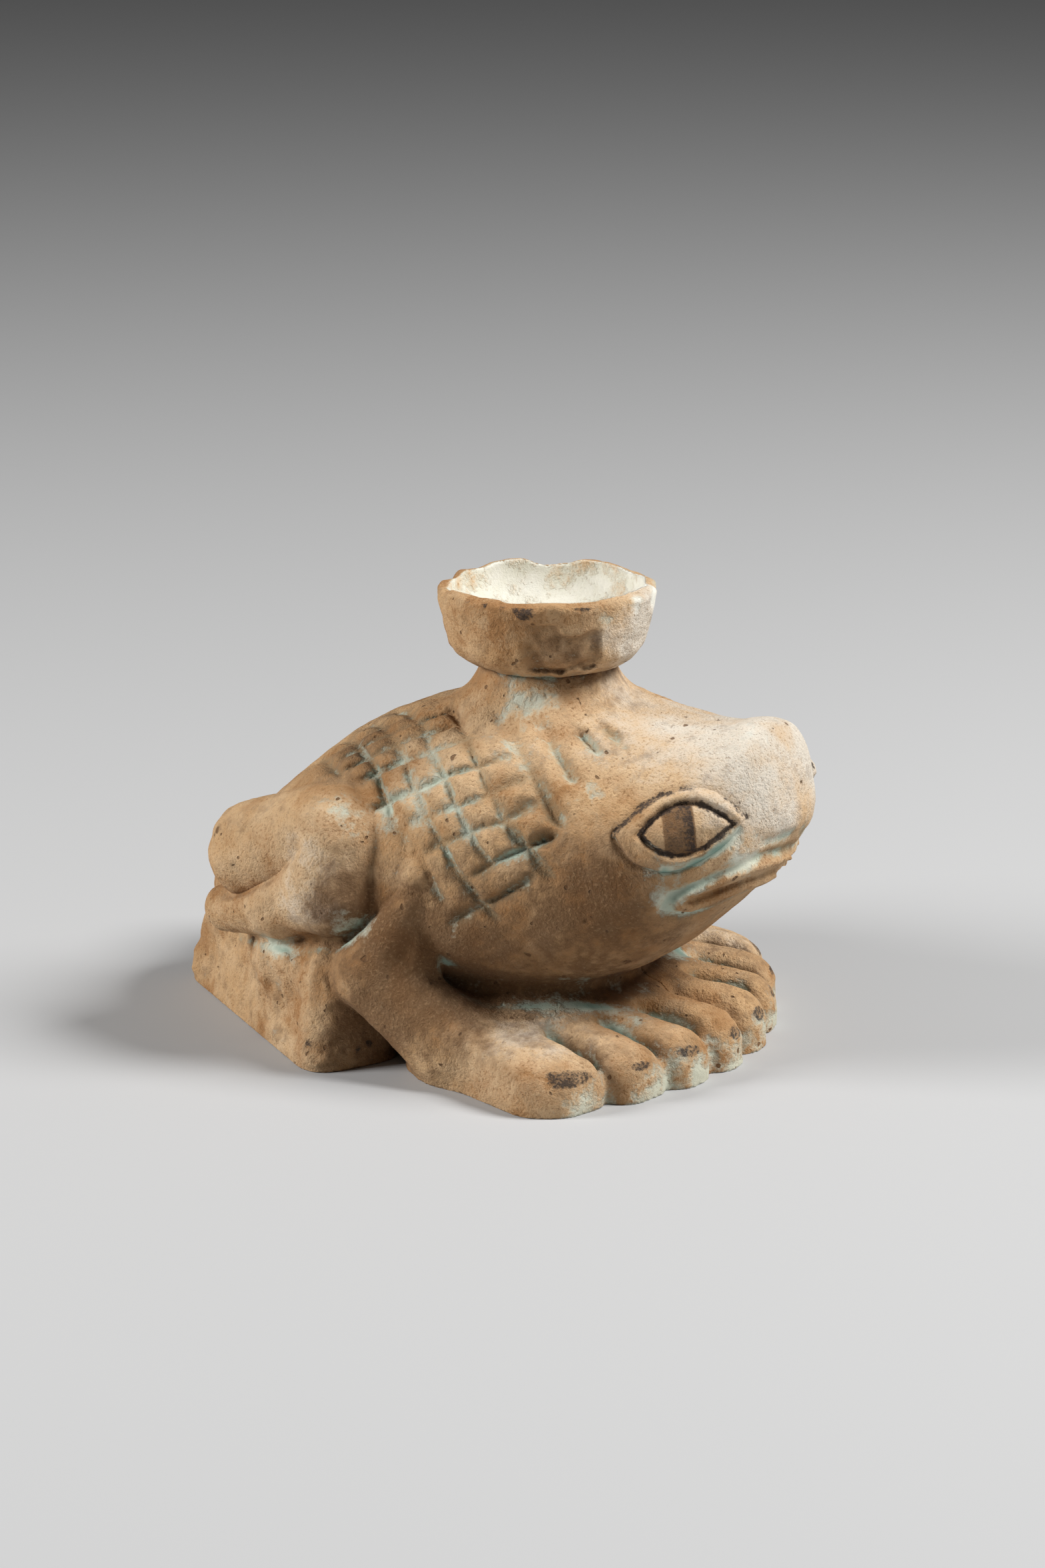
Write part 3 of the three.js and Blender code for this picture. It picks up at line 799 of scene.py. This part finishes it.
def hind_foot_form(p):
    p = right_side(p)
    block = p[:, 2] - hind_foot_height
    for place, facing_way, lean in hind_foot_sides:
        side = ((p[:, :2] - place) @ facing_way + lean * p[:, 2]) / math.hypot(1, lean)
        block = -smooth_join(-block, -side, hind_foot_round)
    foot = smooth_join(block, roll(p, *instep_roll), 3)
    return foot - lumpy(p, 0.45) * fade(p[:, 2], 0, 1)


def lay_pair(name, points, faces, node, slot, finish):
    """A finished piece on the right side and its mirror image on the left."""
    mirrored = points * (-1, 1, 1)
    pieces.append(lay("right_" + name, points, faces, "right_" + node, slot, finish))
    pieces.append(lay("left_" + name, mirrored, faces[:, ::-1], "left_" + node, slot, finish))


def pair(name, node, form, reach, low, high):
    """A luted piece for each side, cut off at the floor and the middle plane."""
    luted.append((form, reach))
    turn = len(luted) - 1

    def right_piece(p):
        return np.maximum.reduce([luted_piece(p, turn), p[:, 0] + 0.02, -p[:, 2]])

    lay_pair(name, *skin(right_piece, low, high, limb_cell), node, "paste", paste)


pair("thigh_roll", "thigh", thigh_form, 0.6, (-22, -1, 8), (-2, 29, 29))
pair("shank_roll", "shank", shank_form, 0.35, (-25, -2, 3), (0.5, 32, 29))
pair("hind_foot_bar", "hind_foot", hind_foot_form, 0.9, (-27, -2, -0.6), (0.6, 36, 18))


# Forelegs
# Each foreleg is a bent roll that runs back from the shoulder to the elbow and forward to the wrist,
# pressed on the flank above and on the forefoot below.
elbow = (-18.4, 3.5, 9.7)
# Rolls again, from start to end.
upper_arm = (-18.2, -0.5, 17.2), 1.3, elbow, 3.4
inner_arm = (-17.2, -1, 16.5), 1.5, (-16.8, 0.4, 8.8), 3.3
forearm = elbow, 3.4, (-17.6, -4.6, 3.4), 4.2
shoulder = (-16.8, -0.6, 21.4), 1.2, (-17.5, -1, 19.6), 1.7


def foreleg_form(p):
    p = right_side(p)
    upper = smooth_join(roll(p, *upper_arm), roll(p, *inner_arm), 0.8)
    arm = smooth_join(upper, roll(p, *forearm), 1)
    return np.minimum(arm, roll(p, *shoulder)) - lumpy(p, 0.18)


pair("foreleg_roll", "foreleg", foreleg_form, 0.5, (-24.5, -11, -0.6), (-9, 10, 24))


# Forefeet
# The forefeet are broad pads under the chest with four toes each, which fan out in front and were
# parted with a tool. Their nails are touched in with dark paint.
toe_count = 4
toe_angles = np.radians([45.8, 31.4, 18.6, 6.2])
toe_reach = [29.2, 28.4, 28.2, 28.2]
toe_half_width = [3.8, 3.7, 3.3, 3.1]
toe_half_length = 7
toe_tip_round = 2.7
web_reach = 26.4
foot_roof = line_through((4, 7.4), (15, 7), (21, 5.9), (26, 5.1), (30, 3.8))
outer_edge = [(-14.8, -2.6), (-20.7, -15.6)]
outer_edge_radius = 3.8
palm_radius = 4.5
palm = [(-11, -6), (-13, -15), (-3, -20), (-3, -6), (-11, -6)]


def toe_stop(i, inward):
    """A place in plan on the middle line of a toe, measured inward from its tip."""
    angle = toe_angles[i]
    x = -math.sin(angle) * toe_reach[i] + math.sin(angle / 2) * inward
    y = -math.cos(angle) * toe_reach[i] + math.cos(angle / 2) * inward
    return np.array([x, y])


def between_toes(i, inward):
    """A place in plan between a toe and the next one, a little nearer to the outer of the two."""
    return 0.6 * toe_stop(i, inward) + 0.4 * toe_stop(i + 1, inward)


def forefoot_form(p):
    p = right_side(p)
    plan = p[:, :2]
    from_heel = np.linalg.norm(plan, axis=1)
    beyond_first = plan @ (-math.cos(toe_angles[0]), math.sin(toe_angles[0]))
    edge = from_line(plan, outer_edge) - outer_edge_radius
    outline = smooth_join(edge, from_line(plan, palm) - palm_radius, 1)
    outline = np.minimum(outline, np.maximum(from_heel - web_reach, beyond_first))
    for i in range(toe_count):
        along = toe_stop(i, 0) - toe_stop(i, 1)
        from_middle = plan - toe_stop(i, toe_half_length)
        ahead = np.abs(from_middle @ along) - toe_half_length
        beside = np.abs(from_middle @ (along[1], -along[0])) - toe_half_width[i]
        over = np.column_stack([ahead, beside]) + toe_tip_round
        toe = np.linalg.norm(np.maximum(over, 0), axis=1) + np.minimum(over.max(axis=1), 0) - toe_tip_round
        outline = smooth_join(outline, toe, 0.8)
    roof = p[:, 2] - foot_roof(from_heel)
    for i in range(toe_count - 1):
        groove = from_line(plan, [between_toes(i, 0), between_toes(i, 6)])
        dent = from_line(plan, [between_toes(i, 3.5), between_toes(i, 7.5)])
        roof = roof + 1.2 * bell(groove, 0.9) + 2.2 * bell(dent, 1)
    middle_groove = from_line(plan, [(0, -28), (0, -20)])
    foot = -smooth_join(-outline, -roof - 1.2 * bell(middle_groove, 1), 2.6)
    return foot - lumpy(p, 0.16) * fade(p[:, 2], 0, 1)


pair("forefoot_pad", "forefoot", forefoot_form, 2.2, (-27.5, -32, -0.6), (0.6, 5, 12))


# Eyes
# Each eye is an almond pellet laid on the swelling of the cheek and tooled: a ball between two lids,
# with a brown iris and lash lines drawn in dark paint.
lashes = [drawn(line, -eye_half_length, eye_half_length) for line in (upper_lash, lower_lash)]
pellet_height = 0.3
ball_height = 0.55
lid_height = 0.45
lash_depth = 0.28
eye_cell = 0.13


def eye_form(p):
    p = right_side(p)
    distance = egg(p)
    near = (np.abs(distance) < 3) & (from_eye(p) < eye_reach + 1)
    spot = eye_spot(p[near])
    forward, up = spot.T
    open_up = upper_lash(forward)
    open_down = lower_lash(forward)
    ball = np.maximum(1 - ((2 * up - open_up - open_down) / np.maximum(open_up - open_down, 0.3)) ** 2, 0)
    ball *= fade(np.abs(forward), 4.5, 3.4)
    rim = np.minimum(upper_lid(forward) - up, up - lower_lid(forward))
    rim = np.minimum(rim, np.minimum(forward - lid_rear, lid_front - forward) + 0.1)
    from_lash = np.minimum(from_line(spot, lashes[0]), from_line(spot, lashes[1]))
    lid = lid_height * bell(from_lash - 0.75, 0.5) * (1 - fade(ball, 0, 0.1))
    height = pellet_height + ball_height * ball + lid - lash_depth * bell(from_lash, 0.27)
    height += 0.1 * unevenness(p[near], 0.8)
    height = height * fade(rim, 0, 0.45) - 0.9 * fade(rim, 0.1, -0.5)
    result = distance.copy()
    result[near] -= swelling(p[near]) + height
    result[~near] = np.maximum(result[~near], 1)
    return result


def eye_piece(p):
    under = egg(p) - swelling(right_side(p)) + 0.6
    return np.maximum.reduce([eye_form(p), -under, p[:, 0]])


eye_paint = frit("painted eye")
eye_skin = skin(eye_piece, (-17, -33.5, 20), (-6, -17.5, 32), eye_cell)
lay_pair("eye_pellet", *eye_skin, "eye", "eye_paint", eye_paint)


# Glaze and wear
# What is left on the surface after long burial: glaze in the hollows and in patches, soil stains, pale
# worn places, and the painted lashes, irises, nails and rim. With them go painted shade in hollows and
# shaded places and painted light on lit places. It is kept on the points of the pieces.
glaze_all_over = 0.08
glaze_in_cup = 0.34
glaze_in_strokes = 0.38
pale_in_cup = 0.4
# How dark the flaked place on the cup is made, partly stain on its bared core and partly painted shade in its
# hollow.
flake_stain_and_shade = 0.22
close_look = 0.6
wide_look = 2.4
# Each patch is (X, Y, Z, reach, strength), given for the right side.
glaze_patches = [
    (-13, -17, 28.5, 3, 0.22),
    (-9.5, -29.6, 24.6, 2.2, 0.22),
    (-6, -31, 22.5, 3.5, 0.2),
    (-12.5, -23.5, 21, 4, 0.12),
    (-10, -27.5, 20, 3, 0.12),
    (-13, -24.5, 18, 2.5, 0.14),
    (-4, -30, 33, 4, 0.2),
    (-8, -8, 34.5, 4, 0.22),
    (-6, -15.4, 43.4, 1.6, 0.3),
    (-2.2, -16.6, 44, 1.4, 0.45),
    (-13, -13.5, 6.6, 3, 0.14),
    (-10, -17.5, 6, 2.5, 0.16),
    (-7, -21, 5, 4, 0.12),
    (-19.6, 4.7, 13, 2.6, 0.2),
    (-17, 15, 10, 4, 0.12),
    (-16, 2, 27, 7, 0.12),
    (-19.5, 6, 25, 3, 0.2),
]
# Dark patches, partly soil stains and partly painted shade under the jaw, on the shaded arm and between the
# thigh and the body above the knee.
soil_and_shade_patches = [
    (-17, -8, 14, 8, 0.27),
    (-14, -19, 15, 9, 0.33),
    (-14.8, -19, 20, 4.5, 0.3),
    (-18, 1, 8, 4, 0.4),
    (-19, 0, 12, 6, 0.4),
    (-21.3, 5.2, 17, 3.6, 0.55),
    (-18.5, -1.5, 13, 3, 0.35),
    (-18.5, 2, 3, 4, 0.4),
    (-19, -4, 8, 5, 0.35),
    (-10, -22, 10, 8, 0.12),
    (-18.5, 4, 4, 4, 0.35),
    (-9, 9, 29, 6, 0.36),
]
# Pale patches, partly worn pale places and partly painted light where the lamps fall on the forehead and
# snout.
pale_and_lit_patches = [
    (-19.5, 7, 22.5, 3.5, 0.25),
    (1, -17, 41.5, 6, 0.7),
    (-19, -12, 5, 6, 0.32),
    (-4, -20, 34, 9, 0.3),
    (-3, -28, 33, 8, 0.4),
    (-6, -32, 27, 7, 0.4),
    (-12, -4, 31, 8, 0.2),
    (-20, 22, 8, 8, 0.2),
    (-22, 10, 2, 5, 0.22),
    (-21, 12, 18, 7, 0.15),
    (-22.5, 9.5, 17, 4, 0.3),
    (-18, -20, 3, 8, 0.15),
]
toe_tips = [(*toe_stop(i, 0.4), 0.4, 3.2, 0.3) for i in range(toe_count)]
# Each line is (stops, width, strength).
crease_lines = [
    (lip_groove, 0.6, 0.9),
    (corner_groove, 0.6, 0.9),
    (nostril, 0.8, 0.7),
    ([(0, -29, 17.2), (-4.8, -28.8, 17.6), (-9.3, -25.5, 16.8)], 0.6, 0.9),
    ([(-8.7, 23.3, 7.6), (-16.5, 15.9, 9.7), (-18.2, 10.5, 10.6), (-19.6, 4.7, 12.6)], 0.6, 0.45),
    ([(-16.5, -3.3, 11.2), (-15.6, -6.7, 7.1), (-12.9, -11.3, 6.8), (-9, -17, 6.4)], 0.8, 0.6),
]
for i in range(toe_count - 1):
    crease_lines.append(([(*between_toes(i, 4), 2.8), (*between_toes(i, 8.5), 4.4)], 1.1, 0.75))
stain_lines = [
    ([(-18.9, 0.2, 17.8), (-18.9, -1.4, 17.9), (-17.8, -2.2, 19)], 0.4, 0.7),
]
glazed_pouch = drawn(lower_lid, -2.4, 4.8)
hind_nails = [(-21.7, 8.5, 2.8), (-19.3, 4.6, 1.9), (-18.2, 3.9, 2.3)]
# Each touch of paint on the rim is (degrees round the cup from its front, half width in degrees).
rim_paint = [(-46, 2), (-35, 2.5), (-16, 10), (19, 5.5)]
nail_height = 3.5
nail_half_width = [3.1, 1.3, 1.4, 1.2]
nail_half_height = [0.75, 0.45, 0.55, 0.75]
nail_outward = [1.8, 1, 1, 0]


def patchy(p, patches):
    """How strongly a list of patches covers points."""
    total = np.zeros(len(p))
    for x, y, z, reach, strength in patches:
        total += strength * bell(np.linalg.norm(p - (x, y, z), axis=1), reach)
    return total


def streaky(p, lines):
    """How strongly a list of lines covers points."""
    total = np.zeros(len(p))
    for stops, width, strength in lines:
        total = np.maximum(total, strength * bell(from_line(p, stops), width))
    return total * (0.8 + 0.6 * unevenness(p, 2.3))


def finished(p):
    """Distance from the finished flask, eyes and all."""
    return np.minimum(flask(p, len(luted)), eye_form(p))


def iris_on(p):
    """Where the brown of the irises was brushed on."""
    right = right_side(p)
    forward, up = eye_spot(right).T
    open_eye = (up < upper_lash(forward)) & (up > lower_lash(forward))
    by_eye = from_eye(right) < eye_reach
    return open_eye * by_eye * fade(forward, -2.4, -1.9) * fade(forward, 0.8, 0.5)


def eye_paint_on(p):
    """Where the lashes, irises and brows were brushed on."""
    right = right_side(p)
    paint = np.zeros(len(p))
    by_eye = from_eye(right) < eye_reach
    spot = eye_spot(right[by_eye])
    forward, up = spot.T
    from_lash = np.minimum(from_line(spot, lashes[0]), from_line(spot, lashes[1]))
    ragged = 0.24 * unevenness(right[by_eye], 0.7)
    lash = 0.68 * bell(np.maximum(from_lash + ragged, 0), 0.38)
    iris = iris_on(p[by_eye]) * (0.42 + 0.16 * fade(forward, -0.6, 0.3))
    brow = 0.58 * bell(from_line(spot, lid_crease) + ragged, 0.34) * (1 - bell(forward - 2.4, 0.9))
    paint[by_eye] = np.maximum.reduce([lash, iris, brow])
    return paint


def nail_paint_on(p):
    """Where the nails were brushed on."""
    right = right_side(p)
    paint = np.zeros(len(p))
    for i in range(toe_count):
        away = right - np.array([*toe_stop(i, 0.9), nail_height])
        across = away @ (math.cos(toe_angles[i] / 2), -math.sin(toe_angles[i] / 2), 0) + nail_outward[i]
        nail = np.hypot(across / nail_half_width[i], away[:, 2] / nail_half_height[i])
        close = fade(np.linalg.norm(away, axis=1), 4, 3)
        paint = np.maximum(paint, 0.55 * fade(nail, 1.3, 0.7) * close)
    for nail in hind_nails:
        paint = np.maximum(paint, 0.6 * bell(np.linalg.norm(right - nail, axis=1), 0.6))
    return paint


def rim_paint_on(p):
    """Where the rim of the cup was touched with paint."""
    paint = np.zeros(len(p))
    turn = cup_turn(p)
    edge = fade(p[:, 2] + 0.8 * unevenness(p, 1.4), cup_rim_height - 1.6, cup_rim_height - 0.8)
    rim_edge = edge * fade(off_axis(p), 10, 10.3)
    for middle, width in rim_paint:
        paint = np.maximum(paint, 0.6 * rim_edge * fade(np.abs(turn - middle), 1.4 * width, 0.6 * width))
    return paint


def inside_cup(p, normals):
    """How surely points lie on the inside of the cup, from 0 to 1."""
    outward = p[:, :2] - (0, neck_y)
    inward = -np.sum(normals[:, :2] * outward, axis=1) / np.maximum(off_axis(p), 1)
    return fade(inward, -0.1, 0.3) * fade(p[:, 2], cup_foot_height + 0.9, cup_foot_height + 1.9)


def creased(p):
    """Where glaze has gathered in the lines of the face and limbs."""
    crease = streaky(right_side(lifted(p)), crease_lines)
    right = right_side(p)
    by_eye = from_eye(right) < eye_reach
    from_pouch = from_line(eye_spot(right[by_eye]), glazed_pouch)
    pouch = 0.8 * bell(from_pouch, 0.45) * (1 + unevenness(right[by_eye], 1.6))
    crease[by_eye] = np.maximum(crease[by_eye], pouch)
    return crease


for piece in pieces:
    mesh = piece.data
    points = np.empty(len(mesh.vertices) * 3)
    normals = np.empty(len(mesh.vertices) * 3)
    mesh.vertices.foreach_get("co", points)
    mesh.vertex_normals.foreach_get("vector", normals)
    points = points.reshape(-1, 3) * 1000
    normals = normals.reshape(-1, 3)
    right = right_side(points)
    lifted_right = right_side(lifted(points))
    # How deep points lie in hollows: the paste is darkened there as painted shade, and glaze gathers there.
    close = 1 - finished(points + close_look * normals) / close_look
    wide = 1 - finished(points + wide_look * normals) / wide_look
    values = {
        "hollow": np.clip(np.maximum(close * 1.3, wide), 0, 1.5),
        "crease": creased(points),
        "glaze": glaze_all_over + patchy(right, glaze_patches + toe_tips),
        "stain_and_shade": patchy(right, soil_and_shade_patches) + streaky(lifted_right, stain_lines) + iris_on(points),
        "pale": patchy(right, pale_and_lit_patches),
        "paint": np.maximum.reduce([eye_paint_on(points), nail_paint_on(points), rim_paint_on(points)]),
    }
    if "pressed" in piece.name:
        strokes = np.clip(hatching(right) / stroke_depth, 0, 1)
        values["crease"] = np.maximum(values["crease"], glaze_in_strokes * strokes)
    if piece.name == "oil_cup":
        in_cup = inside_cup(points, normals)
        values["hollow"] *= 1 - in_cup
        values["glaze"] += glaze_in_cup * in_cup
        values["pale"] += pale_in_cup * in_cup
        # The flaked place is darkened with stain and with painted shade in its hollow.
        values["stain_and_shade"] += flake_stain_and_shade * flake(points) * (1 - in_cup)
    for name, value in values.items():
        kept = mesh.attributes.new(name, "FLOAT", "POINT")
        kept.data.foreach_set("value", value.astype(np.float32))


# Studio
# A pale floor, two soft lamps at the sides, and a camera at the height and distance of the photograph.
floor_reach = 4
floor_corners = [(floor_reach * x, floor_reach * y, 0) for x, y in [(-1, -1), (1, -1), (1, 1), (-1, 1)]]
floor_mesh = bpy.data.meshes.new("studio_floor")
floor_mesh.from_pydata(floor_corners, [], [(0, 1, 2, 3)])
floor = bpy.data.objects.new("studio_floor", floor_mesh)
bpy.context.scene.collection.objects.link(floor)
floor_finish = Finish("pale floor")
floor_finish.feed(floor_finish.surface.inputs["Base Color"], (0.46, 0.46, 0.46, 1))
floor_finish.feed(floor_finish.surface.inputs["Roughness"], 0.9)
floor_mesh.materials.append(floor_finish.material)

camera_turn = math.radians(-64.1)
camera_rise = math.radians(16)
camera_distance = 0.43846
aim = np.array([0.0136, 0.003, 0.02])
backward = np.array(
    [
        math.sin(camera_turn) * math.cos(camera_rise),
        -math.cos(camera_turn) * math.cos(camera_rise),
        math.sin(camera_rise),
    ]
)
sideways = np.array([math.cos(camera_turn), math.sin(camera_turn), 0])


def facing(thing, backward, place):
    """Puts a camera or lamp at a place, looking against the backward direction."""
    thing.rotation_mode = "QUATERNION"
    thing.rotation_quaternion = Vector(backward).to_track_quat("Z", "Y")
    thing.location = place


camera = bpy.data.objects.new("camera", bpy.data.cameras.new("camera"))
camera.data.lens = 100
camera.data.sensor_width = 36
camera.data.clip_start = 0.01
bpy.context.scene.collection.objects.link(camera)
facing(camera, backward, aim + camera_distance * backward)
bpy.context.scene.camera = camera

lamp_aim = np.array([0, 0, 0.02])
lamp_distance = 0.6
lamp_size = 0.24
for name, side, front, height, power in [
    ("right_lamp", 0.8, 0.1, 0.9, 4.8),
    ("left_lamp", -0.95, 0.2, 0.5, 3.4),
]:
    lamp = bpy.data.objects.new(name, bpy.data.lights.new(name, "AREA"))
    lamp.data.shape = "DISK"
    lamp.data.size = lamp_size
    lamp.data.energy = power
    flat_back = np.array([backward[0], backward[1], 0]) / math.cos(camera_rise)
    direction = side * sideways + front * flat_back + np.array([0, 0, height])
    direction = direction / np.linalg.norm(direction)
    bpy.context.scene.collection.objects.link(lamp)
    facing(lamp, direction, lamp_aim + lamp_distance * direction)

world = bpy.data.worlds.new("studio")
world.use_nodes = True
bpy.context.scene.world = world
sky = world.node_tree.nodes["Background"]
sky.inputs["Color"].default_value = (0.8, 0.8, 0.8, 1)
sky.inputs["Strength"].default_value = 0.08
bpy.context.scene.view_settings.view_transform = "Standard"
